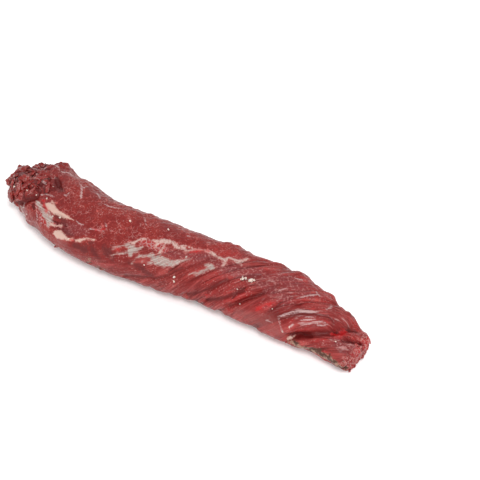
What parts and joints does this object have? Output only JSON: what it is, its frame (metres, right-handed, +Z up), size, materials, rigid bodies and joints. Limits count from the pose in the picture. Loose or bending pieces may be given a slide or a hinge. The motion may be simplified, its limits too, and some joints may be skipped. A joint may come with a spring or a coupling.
{
  "type": "raw hanger steak",
  "caption": "Long raw beef muscle lying flat: smooth cut face, slanted fibre bundles, ragged ends, specks of white fat.",
  "frame": {"origin": "middle of the bounding box, on the surface that the steak lies on", "axes": "+X along the length from the ragged crumbly end to the torn fibrous end, +Y to the back, +Z up"},
  "size_m": [0.2666, 0.065, 0.031],
  "materials": {
    "lean_meat": "moist raw meat, satin with small wet glints",
    "fat": "pale fat and silverskin, satin"
  },
  "bodies": {
    "root": {"hanger_steak": "lean_meat"}
  },
  "joints": []
}
